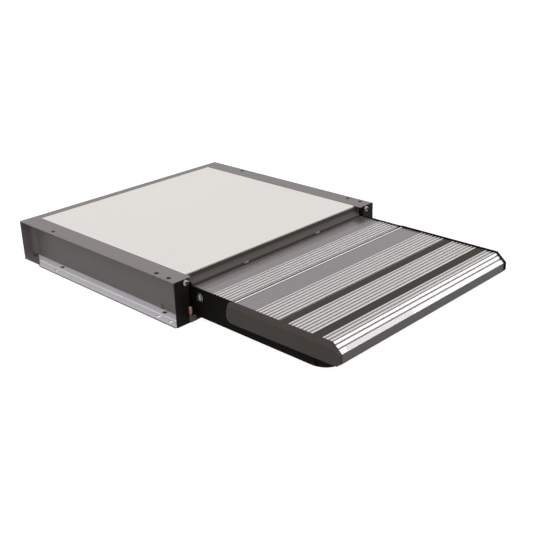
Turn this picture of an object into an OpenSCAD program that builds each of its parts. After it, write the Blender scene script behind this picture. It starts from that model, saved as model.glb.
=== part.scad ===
// Caravan pull out step: a flat housing that bolts under a vehicle's floor, and a
// ribbed tread that slides out of its front on rollers.
// Millimetres, +Z up, the tread slides out along -Y, and the rest pose is fully out.
// The origin is the centre of the bolt pattern, in the underside of the mounting rails.

/* [Housing] */
// Width over the two side flanges
housing_w = 540; // [500:1:600]
// Depth from the front plane to the back of the housing
housing_d = 484; // [470:1:540]
// Height from the underside to the top flanges
housing_h = 84; // [82:0.5:96]
// Thickness of the folded sheet
sheet_t = 1.5; // [1:0.1:2]
// Width of the open pocket along each side
pocket_w = 28; // [25:0.5:30]
// Width of the top flange
flange_w = 39.5; // [36:0.5:44]
// Radius of the top flange's inner front corner
flange_corner_r = 3; // [2:0.5:10]
// Width of the foot flange under the mounting rail
foot_w = 13; // [11.5:0.5:15]
// Radius of the rolled corner between the web and the back panel
rear_bend_r = 11; // [8:0.5:16]
// Radius of the fillet between the back panel and its bottom tab
tab_fillet_r = 14; // [8:0.5:18]
// Width of the back panel's top lip
back_lip_w = 18.5; // [14:0.5:32]
// Length of the back panel's bottom tab along its outer edge
tab_long = 55; // [40:1:65]
// Length of the back panel's bottom tab along the web
tab_short = 5.5; // [4:0.5:24]
// Thickness of the top panel
panel_t = 3.7; // [2:0.1:5]
// Depth of the top panel's face below the flanges
panel_drop = 0.3; // [0:0.1:1]
// Distance of the top panel's front edge from the front plane
panel_setback = 18.5; // [16:0.5:26]
// Width of the ledge that carries the top panel
ledge_w = 26; // [20:0.5:32]
// Height of the ledge's leg on the web
ledge_h = 10; // [6:0.5:11]

/* [Mounting] */
// Diameter of the bolt holes
hole_d = 9; // [6:0.5:10]
// Distance of the rails' bolt holes from the outer edge
rail_hole_inset = 7; // [6.5:0.5:8]
// Distance of the flanges' bolt holes from the outer edge
flange_hole_inset = 10; // [9:0.5:13]
// Distance of the first bolt hole from the front plane
hole_front = 26; // [24:1:40]
// Distance between the two front bolt holes
hole_pitch = 33; // [25:1:45]
// Distance between the first and the last bolt hole
hole_span = 352; // [300:1:370]
// Radius of the weld nuts under the flanges
nut_r = 7; // [6.5:0.1:8]
// Height of the weld nuts
nut_h = 3; // [2:0.1:4]
// Thickness of the mounting rail
rail_t = 2.5; // [2:0.1:4]
// Stand of the mounting rails beyond the flanges
rail_proud = 3; // [0:0.1:5]
// Distance of the rail rivets from the web's outer face
rail_rivet_x = 7; // [6:0.5:8]
// Radius of the rail rivets
rail_rivet_r = 2.4; // [1.6:0.1:3]
// Radius of the rail rivets' heads
rail_rivet_head_r = 4; // [3.5:0.1:5]
// Height of the rail rivets' heads
rail_rivet_head_t = 1.4; // [0.8:0.1:2.5]

/* [Front frame] */
// Thickness of the black end plates
plate_t = 2; // [1.5:0.1:3]
// Width of the end plates
plate_w = 31.5; // [30:0.5:34]
// Depth of the end plate's return beside the mouth
return_d = 12; // [8:0.5:13]
// Distance of the end plate's screw from the outer edge
plate_screw_x = 24; // [18:0.5:25]
// Distance of the end plate's screw below the top flange
plate_screw_drop = 4.8; // [4.5:0.1:9]
// Radius of the end plate's screw
plate_screw_r = 3; // [2:0.1:3.2]
// Radius of the end plate's screw head
plate_screw_head_r = 5.8; // [4.5:0.1:6]
// Height of the end plate's screw head
plate_screw_head_t = 4.2; // [2:0.1:4.5]
// Length of the end plate's screw behind the plate
plate_screw_len = 8; // [6:0.5:12]
// Width of the folded tab that takes the end plate's screw
screw_tab_w = 14; // [12:0.5:18]
// Distance of the end plate's rivet from the outer edge
plate_rivet_x = 12; // [8:0.5:14]
// Distance of the end plate's rivet below the top flange
plate_rivet_drop = 11; // [6:0.5:20]
// Radius of the end plate's rivet head
plate_rivet_head_r = 3.6; // [3:0.1:4.5]
// Thickness of the crossbeam's sheet
beam_t = 1.8; // [1.2:0.1:2.5]
// Depth of the crossbeam's top edge below the panel's face
beam_drop = 2.2; // [1:0.1:3]
// Gap between the crossbeam and the panel's front edge
beam_gap = 0.9; // [0.5:0.1:2]
// Height of the crossbeam's upright band as a share of its face
beam_band_share = 0.54; // [0.3:0.01:0.7]
// Distance of the crossbeam's sloping ends inside the arms
beam_end_gap = 2.5; // [1:0.1:6]
// Distance of the crossbeam's lower edge from the front plane
beam_front = 2; // [0:0.5:4]
// Height of the crossbeam's straight lower edge
beam_edge_h = 2; // [1.5:0.1:3]
// Depth of the crossbeam's bottom lip
beam_lip_d = 12; // [8:0.5:14]
// Depth of the crossbeam's shelf under the panel
beam_shelf_d = 22; // [12:0.5:30]
// Thickness of the wiper seal
seal_t = 0.8; // [0.5:0.1:1.5]
// Gap between the wiper seal and the ribs
seal_gap = 0.4; // [0.3:0.1:1]
// Depth of the wiper seal
seal_d = 8; // [4:0.5:9]
// Distance of each seal clip from the middle
clip_x = 98; // [60:1:180]
// Width of a seal clip
clip_w = 10; // [6:0.5:16]
// Height of the front sill and of the rear crossmember
sill_h = 6; // [4:0.5:6]
// Depth of the front sill and of the rear crossmember
sill_w = 30; // [24:1:40]

/* [Tread] */
// Height of the rib crests above the underside
tread_z = 66.2; // [65:0.1:67]
// Distance of the first ribs from the front plane
plain_w = 48; // [35:1:60]
// Depth of the rear plank behind the front plane
tail_w = 20; // [14:1:40]
// Depth of the groove behind the rear plank's front band
groove_w = 7.1; // [4:0.1:9]
// Depth of the rear plank's front band
band_w = 3; // [2.5:0.1:8]
// Depth of the smooth strip
smooth_w = 43.4; // [25:0.1:60]
// Depth of each rubber strip
rubber_w = 18.4; // [12:0.1:26]
// Gap between the front plank's last rib and its rubber strip
rib_end_gap = 0.8; // [0.4:0.1:3]
// Gap between the nose's last rib and its bevel
nose_gap = 2.5; // [1:0.1:5]
// Depth of the nose's bevel
bevel_w = 16.8; // [12:0.1:20]
// Height of the nose's bevel
bevel_h = 15.5; // [11:0.1:18]
// Height of the nose's lower lip
lip_h = 16.8; // [10:0.1:18]
// Ribs in a block
rib_count = 7; // [5:1:9]
// Ribs on the nose
nose_rib_count = 3; // [2:1:4]
// Distance between two ribs
rib_pitch = 7.9; // [6:0.1:9]
// Height of the ribs
rib_h = 1.6; // [0.8:0.1:2.2]
// Width of a rib at its foot
rib_foot = 4; // [3:0.1:5.4]
// Width of a rib at its crest
rib_crest = 3.2; // [1.5:0.1:3.4]
// Depth of the smooth areas below the crests
smooth_drop = 0.8; // [0:0.1:1.4]
// Thickness of the planks' skin
skin_t = 3.2; // [2.6:0.1:4]
// Depth of the rebates that hold the rubber strips
rebate_d = 1.7; // [1:0.1:1.8]
// Depth of the rubber's face below the crests
rubber_drop = 0.3; // [0:0.1:1]
// Thickness of the webs under the planks
rib_web_t = 2.5; // [1.5:0.1:4]
// Thickness of the nose's walls
nose_wall_t = 3; // [2:0.1:4]
// Thickness of the front trim
trim_t = 2; // [1.2:0.1:3]
// Width of a groove in the bevel
bevel_groove_w = 2.6; // [0.8:0.1:3]
// Depth of a groove in the bevel
bevel_groove_d = 1.4; // [0.6:0.1:2]
// Place of the upper groove, as a share of the bevel
upper_groove = 0.24; // [0.15:0.01:0.3]
// Place of the lower groove, as a share of the bevel
lower_groove = 0.59; // [0.4:0.01:0.65]
// Length of the reflector strip
reflector_l = 166; // [80:1:200]
// Distance of the reflector strip from the plank's end
reflector_inset = 18; // [4:1:40]
// Distance of the reflector strip from the edges of its band
reflector_margin = 0.6; // [0.3:0.1:2]
// Thickness of the reflector strip
reflector_t = 0.5; // [0.3:0.1:0.8]

/* [Carriage] */
// Gap between an end cap and the end plate beside it
side_gap = 1.8; // [1.2:0.1:3]
// Thickness of an end cap
cap_t = 4; // [3.5:0.1:6]
// Distance of the end caps' rear end from the front plane
cap_start = 88; // [60:1:110]
// Height of the end cap's lower edge at its rear
cap_z0 = 29.9; // [26:0.1:31]
// Height of the end cap's lower edge at its chin
cap_z1 = 30.5; // [28:0.1:33]
// Depth of the end cap's chin
cap_chin = 4.5; // [3:0.5:14]
// Rise of the end caps above the rib crests
cap_rise = 2.4; // [0.5:0.1:4]
// Drop of the end cap's sloping top
cap_slope = 9.8; // [4:0.1:14]
// Draft of the end cap's other edges
cap_draft = 1.2; // [0.5:0.1:2]
// Radius of the end cap's rear lower corner
cap_corner_r = 10; // [6:0.5:12]
// Radius of the end cap's rear upper corner
cap_top_r = 16; // [8:0.5:18]
// Height of the end cap's front edge above the nose's lower lip
cap_lip_rise = 3; // [1:0.1:6]
// Thickness of an arm
arm_t = 2; // [1.5:0.1:3]
// Rise of the arms' rim above the rib crests
rim_rise = 1.5; // [0.5:0.1:2]
// Stand of the arms' rim in front of the nose
rim_proud = 2; // [1:0.1:3]
// Radius of the arms' rim at its corners
rim_corner_r = 4; // [3:0.5:8]
// Height of the arms' lower edge
arm_z0 = 13.7; // [11:0.1:14.5]
// Length of the arms behind the rear axles
arm_end = 15; // [12:0.5:16]
// Distance of the arms' front end behind the nose's face
arm_nose_gap = 10.8; // [8:0.1:16]
// Length of the arms' rising front end behind the nose
arm_rise_l = 62.3; // [50:0.1:80]
// Radius of the arms' lower front corner
arm_corner_r = 100; // [60:1:120]
// Width of the arms' top flange
arm_flange_w = 20; // [16:0.5:26]
// Thickness of the arms' top flange
arm_flange_t = 4; // [3:0.1:5]
// Depth of a crossbar
bar_w = 30; // [20:1:36]
// Height of a crossbar
bar_h = 10; // [8:0.5:10]
// Height of the crossbars above the roller tracks
bar_rise = 5.5; // [1:0.1:5.8]
// Distance of the middle crossbar outside the front plane
middle_bar_out = 20; // [16:1:30]
// Distance of the front crossbar outside the front plane
front_bar_out = 250; // [230:1:260]
// Distance of the rear crossbar in front of the rear axles
rear_bar_gap = 32; // [28:1:50]
// Radius of the arm bolts
bolt_r = 3; // [2:0.1:4]
// Radius of the arm bolts' heads
bolt_head_r = 6.2; // [5:0.1:7]
// Height of the arm bolts' heads
bolt_head_t = 2.6; // [1.5:0.1:2.8]
// Length of the arm bolts inside a crossbar
bolt_len = 18; // [10:1:30]
// Radius of the small screws and rivets
screw_r = 2; // [1.2:0.1:2.5]
// Radius of the small screws' and rivets' heads
screw_head_r = 3.6; // [3:0.1:4.2]
// Height of the small screws' and rivets' heads
screw_head_t = 1.8; // [1:0.1:2.4]

/* [Rollers] */
// Radius of a roller
roller_r = 12; // [10:0.1:12]
// Width of a roller
roller_w = 16; // [10:0.5:17]
// Height of the roller axles
roller_z = 27; // [26:0.1:27]
// Distance of the front rollers behind the front plane
front_roller_in = 26; // [25:0.5:34]
// Distance that the stowed nose stands in front of the front plane
nose_stand = 10.7; // [8:0.1:30]
// Gap between a roller and its track
roller_gap = 0.3; // [0.2:0.05:0.6]
// Radius of a roller axle
axle_r = 4; // [3:0.1:5]
// Running clearance of rollers and lever on their pins
running_gap = 0.08; // [0.02:0.01:0.1]
// Radius of an axle's shoulder
shoulder_r = 6; // [5.5:0.1:7]
// Height of an axle's riveted head
axle_head_t = 1.8; // [1:0.1:2.6]
// Thickness of an axle clip
axle_clip_t = 1.2; // [0.6:0.1:1.6]
// Outer width of a roller track
track_w = 24; // [23:0.5:26]
// Wall of a roller track
track_t = 2; // [1.5:0.1:2.4]
// Gap between a track and an arm
track_gap = 1.5; // [1:0.1:3]
// Distance of the tracks' front end from the front plane
track_front = 4; // [2:0.5:6]
// Distance of the tracks' rear end from the back panel
track_rear = 2.5; // [1:0.5:6]
// Thickness of the rear stop buffers
buffer_t = 6; // [4:0.5:9]
// Gap between a roller and its stop buffer
stop_gap = 0.4; // [0.3:0.1:1]

/* [Lock lever] */
// Thickness of the lever
lever_t = 3; // [2:0.1:3.2]
// Height of the lever's bar
lever_h = 4.7; // [3.5:0.1:5]
// Gap between the lever and the mouth's side
lever_gap = 0.6; // [0.4:0.1:0.8]
// Distance of the lever's pin behind the front plane
lever_pin_in = 75; // [60:1:90]
// Radius of the lever's pin
lever_pin_r = 3; // [2:0.1:3.2]
// Radius of the lever pin's heads
lever_pin_head_r = 4.2; // [3.5:0.1:4.4]
// Radius of the lever's boss
lever_boss_r = 6; // [5.5:0.1:6.2]
// Distance of the lever's grip in front of the front plane
lever_reach = 13.5; // [12:0.5:18]
// Distance of the locked stud behind the front plane
stud_in = 40; // [34:1:46]
// Height of the lock stud
stud_z = 20; // [19.5:0.1:20.5]
// Radius of the lock stud
stud_r = 3; // [2:0.1:3.2]
// Width of the lever's tooth
tooth_w = 6; // [4:0.1:8]
// Distance between the tooth at rest and the locked stud
tooth_gap = 3; // [2.6:0.1:5]
// Height of the plate under the grip
lever_foot_h = 11; // [4:0.5:12]
// Distance of the grip from the outer edge
grip_edge = 21.5; // [16:0.5:26]
// Width of the grip
grip_w = 7; // [5:0.5:9]
// Depth of the grip
grip_d = 6; // [5:0.5:7]
// Height of the grip's lower end
grip_z = 24; // [20:0.5:26]
// Length of the grip
grip_l = 13; // [11:0.5:18]

/* [Hidden] */
$fn = 48;
// Gap between neighbours that are fitted side by side
fit = 0.3;
// Radial clearance of screws and rivets in their holes
screw_fit = 0.05;
// Overlap that joins two shapes of one piece, or clears a cut's faces
bite = 0.2;

// Colours of the finishes
grey_paint = [0.40, 0.38, 0.38];
black_paint = [0.10, 0.09, 0.08];
beam_grey = [0.29, 0.28, 0.26];
pale_panel = [0.87, 0.86, 0.85];
aluminium = [0.72, 0.71, 0.72];
rubber_black = [0.20, 0.19, 0.18];
cap_grey = [0.27, 0.25, 0.24];
steel = [0.66, 0.66, 0.67];
trim_grey = [0.37, 0.35, 0.36];
red_grip = [0.70, 0.25, 0.22];
nylon = [0.85, 0.84, 0.80];

// Across the width
half_w = housing_w / 2;
web_out = half_w - pocket_w;
web_in = web_out - sheet_t;
flange_in = half_w - flange_w;
mouth_half = half_w - plate_w;
cap_out = mouth_half - side_gap;
arm_out = cap_out - cap_t;
arm_in = arm_out - arm_t;
plank_half = arm_in - fit;
arm_flange_in = arm_in - arm_flange_w;
arm_flange_mid = (arm_flange_in + arm_in) / 2;
plank_web_half = arm_flange_in - fit;
track_out = arm_in - track_gap;
track_in = track_out - track_w;
roller_out = track_out - track_t;
roller_in = roller_out - roller_w;
axle_end = roller_in - axle_clip_t - 3 * fit;
foot_out = web_in + foot_w;
rail_step = foot_out + fit;
rail_out = half_w + rail_proud;
rail_hole_x = half_w - rail_hole_inset;
flange_hole_x = half_w - flange_hole_inset;
rivet_x = web_out + rail_rivet_x;
beam_half = plank_half - beam_end_gap;
grip_x = half_w - grip_edge;
lever_out = mouth_half - lever_gap;
lever_in = lever_out - lever_t;

// Heights
flange_z = housing_h - sheet_t;
panel_z1 = housing_h - panel_drop;
panel_z0 = panel_z1 - panel_t;
base_z = tread_z - rib_h;
smooth_z = tread_z - smooth_drop;
skin_z = base_z - skin_t;
rebate_z = base_z - rebate_d;
rubber_z = tread_z - rubber_drop;
seal_z = tread_z + seal_gap;
beam_z = seal_z + seal_t;
track_inner_h = roller_r + roller_gap;
track_z0 = roller_z - track_inner_h - track_t;
track_z1 = roller_z + track_inner_h + track_t;
bar_z0 = track_z1 + bar_rise;
bar_z1 = bar_z0 + bar_h;
bolt_z = bar_z0 + bar_h / 2;
bevel_z = tread_z - bevel_h;
lip_z = bevel_z - lip_h;
lever_z0 = sill_h + fit;
lever_z1 = lever_z0 + lever_h;
lever_pin_z = lever_z0 + lever_h / 2;
tooth_z = stud_z - stud_r - 2 * fit;
cap_screw_z = bolt_z;
arm_flange_z = skin_z - arm_flange_t;

// Along the depth, behind the front plane
front_y = -(hole_front + hole_span / 2);
inner_d = housing_d - sheet_t;
track_end = inner_d - track_rear;
stop_y = track_end - buffer_t;
hole_ys = [hole_front, hole_front + hole_pitch, hole_front + hole_span];
rivet_ys = [hole_front + hole_pitch, hole_front + hole_span];
tooth_y = stud_in - stud_r - tooth_gap - tooth_w;
rear_member_y = inner_d - sill_w;
bend_out_r = rear_bend_r + sheet_t;
bend_z = sheet_t + rail_t + fit;
bend_y = inner_d - fit - bend_out_r;

// Along the depth, outside the front plane
rear_ribs_w = (rib_count - 1) * rib_pitch;
middle_ribs_w = rib_count * rib_pitch;
front_ribs_w = (rib_count - 1) * rib_pitch + rib_foot + rib_end_gap;
nose_ribs_w = (nose_rib_count - 1) * rib_pitch + rib_foot + nose_gap;
rear_band_out = plain_w + rear_ribs_w + groove_w;
smooth_out = rear_band_out + band_w;
middle_ribs_out = smooth_out + smooth_w;
rear_rubber_out = middle_ribs_out + middle_ribs_w;
front_ribs_out = rear_rubber_out + rubber_w;
front_rubber_out = front_ribs_out + front_ribs_w;
nose_ribs_out = front_rubber_out + rubber_w;
bevel_out = nose_ribs_out + nose_ribs_w;
nose_out = bevel_out + bevel_w;
front_joint = rear_rubber_out + rubber_w / 2;
nose_joint = front_rubber_out + rubber_w / 2;
arm_front = nose_out - arm_nose_gap;
arm_straight = nose_out - arm_rise_l;
arm_slope = arm_nose_gap + bevel_w;
arm_flange_out = bevel_out - nose_wall_t - fit;
travel = nose_out - nose_stand;
rear_roller_in = stop_y - stop_gap - roller_r - travel;
rear_bar_in = rear_roller_in - rear_bar_gap;
arm_tail = rear_roller_in + arm_end;
stud_out = travel - stud_in;
bar_outs = [middle_bar_out, front_bar_out, -rear_bar_in];
cap_screw_outs = [cap_start + 4 * cap_corner_r, nose_ribs_out];
plank_rivet_outs = [
    -tail_w / 2, plain_w + rear_ribs_w / 2,
    smooth_out + smooth_w / 3, middle_ribs_out + middle_ribs_w / 2,
    front_joint + rubber_w / 4, nose_joint - rubber_w / 4,
    nose_joint + rubber_w / 4, nose_ribs_out + nose_ribs_w / 2];

// Frame helpers: from_front counts Y from the front plane, on_side mirrors to the left
module from_front() {
    translate([0, front_y, 0]) children();
}
module on_side(side) {
    if (side < 0) mirror([1, 0, 0]) children();
    else children();
}
module both_sides() {
    for (side = [-1, 1]) on_side(side) children();
}

// Solids from ranges: a block, and rods along each axis
module block(x, y, z) {
    translate([x[0], y[0], z[0]]) cube([x[1] - x[0], y[1] - y[0], z[1] - z[0]]);
}
module rod_x(x, y, z, r) {
    translate([x[0], y, z]) rotate([0, 90, 0]) cylinder(h = x[1] - x[0], r = r);
}
module rod_y(x, y, z, r) {
    translate([x, y[0], z]) rotate([-90, 0, 0]) cylinder(h = y[1] - y[0], r = r);
}
module rod_z(x, y, z, r) {
    translate([x, y, z[0]]) cylinder(h = z[1] - z[0], r = r);
}

// Extrusions: a section in Y and Z along X, one in X and Z along Y, one in X and Y along Z
module along_x(x) {
    translate([x[0], 0, 0]) rotate([90, 0, 90]) linear_extrude(x[1] - x[0]) children();
}
module along_y(y) {
    translate([0, y[1], 0]) rotate([90, 0, 0]) linear_extrude(y[1] - y[0]) children();
}
module along_z(z) {
    translate([0, 0, z[0]]) linear_extrude(z[1] - z[0]) children();
}
// A section drawn by its distance out of the front plane and its height, along X
module out_section(x) {
    mirror([0, 1, 0]) along_x(x) children();
}

// Housing

module mounting_holes(x, z) {
    for (y = hole_ys) rod_z(x, y, z, hole_d / 2);
}
module rivet_holes(z) {
    for (y = rivet_ys) rod_z(rivet_x, y, z, rail_rivet_r + screw_fit);
}
module rolled_corner() {
    translate([web_out + rear_bend_r, bend_y]) intersection() {
        difference() {
            circle(r = bend_out_r);
            circle(r = rear_bend_r);
        }
        translate([-bend_out_r, -bite]) square([bend_out_r, bend_out_r + bite]);
    }
}
module side_channel(side) {
    color(grey_paint) from_front() on_side(side) difference() {
        union() {
            difference() {
                along_y([plate_t, inner_d]) polygon([
                    [web_in, 0], [foot_out, 0], [foot_out, sheet_t], [web_out, sheet_t],
                    [web_out, flange_z], [half_w, flange_z], [half_w, housing_h],
                    [flange_in, housing_h], [flange_in, flange_z], [web_in, flange_z]]);
                block([web_in - bite, web_out + bite], [bend_y, inner_d + bite], [bend_z + bite, flange_z]);
            }
            along_z([bend_z, flange_z + bite]) rolled_corner();
            block([web_out - bite, half_w - plate_screw_x + screw_tab_w / 2],
                [plate_t, plate_t + sheet_t], [flange_z - screw_tab_w, flange_z + bite]);
        }
        mounting_holes(flange_hole_x, [flange_z - bite, housing_h + bite]);
        rivet_holes([-bite, sheet_t + bite]);
        plate_screw_hole();
        along_z([flange_z - bite, housing_h + bite]) difference() {
            translate([flange_in - bite, plate_t - bite]) square(flange_corner_r + bite);
            translate([flange_in + flange_corner_r, plate_t + flange_corner_r]) circle(r = flange_corner_r);
        }
        if (side < 0)
            rod_x([web_in - bite, web_out + bite], lever_pin_in, lever_pin_z, lever_pin_r + screw_fit);
    }
}
module mounting_rail(side) {
    color(aluminium) from_front() on_side(side) difference() {
        along_y([plate_t, inner_d]) polygon([
            [web_out, sheet_t], [rail_step, sheet_t], [rail_step, 0], [rail_out, 0],
            [rail_out, rail_t], [rail_step + rail_t, rail_t],
            [rail_step + rail_t, sheet_t + rail_t], [web_out, sheet_t + rail_t]]);
        along_z([-bite, sheet_t + rail_t + bite]) polygon([
            [rail_out + bite, inner_d - tab_long - fit], [half_w, inner_d - tab_long - fit],
            [web_out, inner_d - tab_short - fit], [web_out - bite, inner_d - tab_short - fit],
            [web_out - bite, housing_d], [rail_out + bite, housing_d]]);
        mounting_holes(rail_hole_x, [-bite, rail_t + bite]);
        rivet_holes([sheet_t - bite, sheet_t + rail_t + bite]);
    }
}
module flange_nuts() {
    color(black_paint) from_front() both_sides() difference() {
        for (y = hole_ys) rod_z(flange_hole_x, y, [flange_z - nut_h, flange_z], nut_r);
        mounting_holes(flange_hole_x, [flange_z - nut_h - bite, flange_z + bite]);
    }
}
module back_panel() {
    color(grey_paint) from_front() {
        block([-half_w, half_w], [inner_d, housing_d], [0, housing_h]);
        block([-flange_in, flange_in], [housing_d - back_lip_w, inner_d + bite], [flange_z, housing_h]);
        both_sides() along_z([sheet_t, 2 * sheet_t]) polygon([
            [half_w, inner_d + bite], [half_w, inner_d - tab_long],
            [web_out, inner_d - tab_short], [web_out, inner_d + bite]]);
        both_sides() along_x([web_out + rear_bend_r + fit, half_w]) difference() {
            translate([inner_d - tab_fillet_r, 2 * sheet_t - bite])
                square([tab_fillet_r + bite, tab_fillet_r + bite]);
            translate([inner_d - tab_fillet_r, 2 * sheet_t + tab_fillet_r]) circle(r = tab_fillet_r);
        }
    }
}
module top_panel() {
    color(pale_panel) from_front()
        block([fit - flange_in, flange_in - fit], [panel_setback, housing_d - back_lip_w - fit],
            [panel_z0, panel_z1]);
}
module panel_ledge(side) {
    color(grey_paint) from_front() on_side(side)
        along_y([panel_setback + beam_shelf_d + fit, inner_d]) polygon([
            [web_in, panel_z0], [web_in, panel_z0 - ledge_h], [web_in - sheet_t, panel_z0 - ledge_h],
            [web_in - sheet_t, panel_z0 - sheet_t], [web_in - ledge_w, panel_z0 - sheet_t],
            [web_in - ledge_w, panel_z0]]);
}
module front_crossbeam() {
    top_z = panel_z1 - beam_drop;
    edge_z = beam_z + beam_edge_h;
    knee_z = top_z - beam_band_share * (top_z - edge_z);
    back = panel_setback - beam_gap;
    face = back - beam_t;
    run = (face - beam_front) / (knee_z - edge_z);
    wall = beam_t * sqrt(1 + run * run);
    lip_z1 = beam_z + beam_t;
    shelf_z = panel_z0 - beam_t;
    shelf_d = panel_setback + beam_shelf_d;
    color(beam_grey) from_front() {
        along_x([-web_in, web_in]) polygon([
            [face, top_z], [face, knee_z], [back, knee_z], [back, shelf_z],
            [shelf_d, shelf_z], [shelf_d, panel_z0], [back, panel_z0], [back, top_z]]);
        along_x([-beam_half, beam_half]) polygon([
            [face, knee_z + bite], [face, knee_z], [beam_front, edge_z], [beam_front, beam_z],
            [beam_front + beam_lip_d, beam_z], [beam_front + beam_lip_d, lip_z1],
            [beam_front + wall, lip_z1], [beam_front + wall, edge_z],
            [back, edge_z + (back - beam_front - wall) / run], [back, knee_z + bite]]);
    }
}
module wiper_seal() {
    color(rubber_black) from_front()
        block([-beam_half, beam_half], [beam_front, beam_front + seal_d], [seal_z, beam_z]);
}
module seal_clips() {
    color(nylon) from_front() both_sides()
        block([clip_x - clip_w / 2, clip_x + clip_w / 2], [beam_front - beam_t, beam_front],
            [seal_z, beam_z + beam_edge_h]);
}
module plate_screw_hole() {
    rod_y(half_w - plate_screw_x, [-bite, plate_screw_len], flange_z - plate_screw_drop,
        plate_screw_r + screw_fit);
}
module end_plate(side) {
    color(black_paint) from_front() on_side(side) difference() {
        union() {
            block([mouth_half, half_w], [0, plate_t], [0, housing_h]);
            block([mouth_half, mouth_half + sheet_t], [0, return_d], [0, flange_z]);
        }
        plate_screw_hole();
        rod_y(half_w - plate_rivet_x, [-bite, plate_t + bite], flange_z - plate_rivet_drop,
            screw_r + screw_fit);
    }
}
module end_plate_screws() {
    color(steel) from_front() both_sides()
        translate([half_w - plate_screw_x, 0, flange_z - plate_screw_drop]) {
            rod_y(0, [-bite, plate_screw_len], 0, plate_screw_r);
            rotate([90, 0, 0]) pan_head(plate_screw_head_r, plate_screw_head_t);
        }
}
module end_plate_rivets() {
    color(black_paint) from_front() both_sides()
        translate([half_w - plate_rivet_x, 0, flange_z - plate_rivet_drop]) {
            rod_y(0, [-bite, plate_t + screw_head_t], 0, screw_r);
            rotate([90, 0, 0]) cylinder(h = screw_head_t / 2, r = plate_rivet_head_r);
        }
}
// A screw head with a rounded rim, along +Z
module pan_head(r, h) {
    rotate_extrude() union() {
        square([r - h / 2, h]);
        square([r, h / 2]);
        translate([r - h / 2, h / 2]) circle(r = h / 2);
    }
}
module rail_rivets() {
    color(beam_grey) from_front() both_sides() for (y = rivet_ys) {
        rod_z(rivet_x, y, [bite, sheet_t + rail_t + bite], rail_rivet_r);
        rod_z(rivet_x, y, [sheet_t + rail_t, sheet_t + rail_t + rail_rivet_head_t], rail_rivet_head_r);
    }
}

// Sill, crossmember and tracks

module track_screw(y, slack) {
    track_mid = (track_in + track_out) / 2;
    rod_z(track_mid, y, [screw_head_t - bite, track_z0 + track_t - bite + slack], screw_r + slack);
    rod_z(track_mid, y, [bite - 2 * slack, bite + screw_head_t + slack], screw_head_r + slack);
}
module cross_member(half, y) {
    from_front() difference() {
        union() {
            block([-half, half], y, [0, sill_h]);
            both_sides() block([track_in, track_out], y, [sill_h - bite, track_z0]);
        }
        both_sides() track_screw((y[0] + y[1]) / 2, fit);
    }
}
module front_sill() {
    color(black_paint) cross_member(mouth_half, [0, sill_w]);
}
module rear_crossmember() {
    color(black_paint) cross_member(web_in, [rear_member_y, inner_d]);
}
module track_screws() {
    color(steel) from_front() both_sides() {
        track_screw(sill_w / 2, 0);
        track_screw(rear_member_y + sill_w / 2, 0);
    }
}
module roller_track(side) {
    color(aluminium) from_front() on_side(side) difference() {
        along_y([track_front, track_end]) polygon([
            [track_in, track_z0], [track_out, track_z0], [track_out, track_z0 + track_t],
            [track_in + track_t, track_z0 + track_t], [track_in + track_t, track_z1 - track_t],
            [track_out, track_z1 - track_t], [track_out, track_z1], [track_in, track_z1]]);
        track_screw(sill_w / 2, fit);
        track_screw(rear_member_y + sill_w / 2, fit);
    }
}
module stop_buffers(y) {
    color(rubber_black) from_front() both_sides()
        block([track_in + track_t, track_out], y, [track_z0 + track_t, track_z1 - track_t]);
}
module front_stop_buffers() {
    stop_buffers([track_front, front_roller_in - roller_r - stop_gap]);
}
module rear_stop_buffers() {
    stop_buffers([stop_y, track_end]);
}

// Tread

module skin(from, to, top) {
    polygon([[from, skin_z], [to, skin_z], [to, top], [from, top]]);
}
module ribs(first, count) {
    for (i = [0 : count - 1])
        translate([first + i * rib_pitch, base_z]) polygon([
            [-rib_foot / 2, -bite], [rib_foot / 2, -bite],
            [rib_crest / 2, rib_h], [-rib_crest / 2, rib_h]]);
}
module rivet_sockets() {
    for (out = plank_rivet_outs) both_sides()
        rod_z(arm_flange_mid, -out, [skin_z - bite, rebate_z - bite], screw_r + screw_fit);
}
module plank_webs(outs) {
    for (out = outs)
        block([-plank_web_half, plank_web_half], [-out - rib_web_t, -out], [bar_z1, skin_z + bite]);
}
module plank(web_outs) {
    color(aluminium) from_front() difference() {
        union() {
            out_section([-plank_half, plank_half]) children();
            plank_webs(web_outs);
        }
        rivet_sockets();
    }
}
module rear_plank() {
    end = smooth_out - fit;
    plank([-tail_w, 0, plain_w, end - rib_web_t]) {
        skin(-tail_w, plain_w, smooth_z);
        skin(plain_w, rear_band_out - groove_w, base_z);
        ribs(plain_w + rib_pitch / 2, rib_count - 1);
        skin(rear_band_out - groove_w, rear_band_out, rebate_z);
        skin(rear_band_out, end, tread_z);
    }
}
module middle_plank() {
    end = front_joint - fit;
    plank([smooth_out, middle_ribs_out, end - rib_web_t]) {
        skin(smooth_out, middle_ribs_out, smooth_z);
        skin(middle_ribs_out, rear_rubber_out, base_z);
        ribs(middle_ribs_out + rib_pitch / 2, rib_count);
        skin(rear_rubber_out, end, rebate_z);
    }
}
module front_plank() {
    end = nose_joint - fit;
    plank([front_joint, front_bar_out, end - rib_web_t]) {
        skin(front_joint, front_ribs_out, rebate_z);
        skin(front_ribs_out, front_rubber_out, base_z);
        ribs(front_ribs_out + rib_foot / 2, rib_count);
        skin(front_rubber_out, end, rebate_z);
    }
}
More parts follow.
